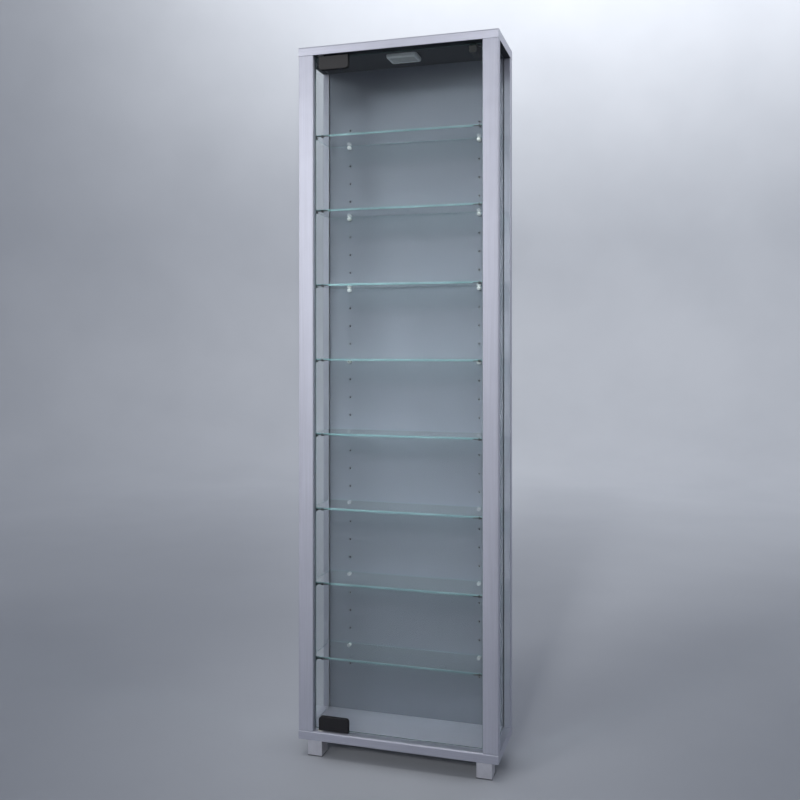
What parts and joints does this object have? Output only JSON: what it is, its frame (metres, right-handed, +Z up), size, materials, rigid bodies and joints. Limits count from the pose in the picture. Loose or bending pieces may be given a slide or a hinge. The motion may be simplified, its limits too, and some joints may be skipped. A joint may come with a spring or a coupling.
{
  "type": "glass display showcase",
  "caption": "Tall shallow display showcase with silver boards and posts, glass sides, glass shelves on pins, a frameless hinged glass door, a top light and square feet.",
  "frame": {"origin": "centre of the footprint on the floor", "axes": "+Z up, the front with the door faces -Y, +X to the right seen from the front"},
  "size_m": [0.5, 0.18, 1.75],
  "materials": {
    "silver_foil": "satin metallic foil on fibreboard",
    "silver_panel": "satin grey foil on fibreboard",
    "clear_glass": "polished",
    "shelf_glass": "polished, ground edges",
    "door_glass": "polished, ground edges",
    "nickel": "nickel plated",
    "clear_plastic": "clear",
    "black_plastic": "satin black",
    "hinge_black": "satin black coating",
    "black_rubber": "matte",
    "zinc_steel": "zinc plated",
    "dowel_wood": "raw beech",
    "cap_grey": "satin",
    "foot_aluminium": "satin anodised",
    "glide_plastic": "matte",
    "bush_plastic": "natural white",
    "magnet": "nickel plated",
    "led_silver": "satin silver",
    "led_clear": "clear",
    "led_board": "white solder mask",
    "led_chip": "phosphor"
  },
  "bodies": {
    "cabinet": {"top_board": "silver_foil", "bottom_board": "silver_foil", "front_left_post": "silver_foil", "front_right_post": "silver_foil", "rear_left_post": "silver_foil", "rear_right_post": "silver_foil", "rear_panel": "silver_panel", "left_side_glass": "clear_glass", "right_side_glass": "clear_glass", "shelf_1": "shelf_glass", "shelf_2": "shelf_glass", "shelf_3": "shelf_glass", "shelf_4": "shelf_glass", "shelf_5": "shelf_glass", "shelf_6": "shelf_glass", "shelf_7": "shelf_glass", "shelf_8": "shelf_glass", "rear_shelf_pins": "nickel", "rear_pin_sleeves": "clear_plastic", "front_shelf_supports": "black_plastic", "front_support_pads": "black_rubber", "frame_screws": "zinc_steel", "frame_dowels": "dowel_wood", "screw_caps": "cap_grey", "panel_screws": "zinc_steel", "anti_tip_plates": "zinc_steel", "anti_tip_screws": "zinc_steel", "hinge_bush_bottom": "bush_plastic", "hinge_bush_top": "bush_plastic", "thrust_washer": "bush_plastic", "catch_housing": "black_plastic", "catch_screws": "zinc_steel", "led_housing": "led_silver", "led_diffuser": "led_clear", "led_board": "led_board", "led_chips": "led_chip", "led_screws": "zinc_steel", "cable_grommet": "black_rubber", "foot_front_left": "foot_aluminium", "foot_front_right": "foot_aluminium", "foot_rear_left": "foot_aluminium", "foot_rear_right": "foot_aluminium", "foot_glides": "glide_plastic", "foot_screws": "zinc_steel"},
    "door": {"door_glass": "door_glass", "hinge_clamp_bottom": "hinge_black", "hinge_clamp_top": "hinge_black", "hinge_grub_screws": "zinc_steel", "hinge_liner_bottom": "black_rubber", "hinge_liner_top": "black_rubber", "hinge_pivot_bottom": "zinc_steel", "hinge_pivot_top": "zinc_steel", "strike_plate": "hinge_black"},
    "catch_plunger": {"catch_plunger": "black_plastic", "catch_magnet": "magnet"}
  },
  "joints": [
    {"name": "door_hinge", "type": "hinge", "parent": "cabinet", "child": "door", "pos_m": [-0.196, -0.076, 0.8975], "axis": [0, 0, -1], "range_deg": [0, 110]},
    {"name": "catch_plunger_slide", "type": "slide", "parent": "cabinet", "child": "catch_plunger", "axis": [0, 1, 0], "range_m": [0, 0.003], "stiffness_N_per_m": 300}
  ]
}
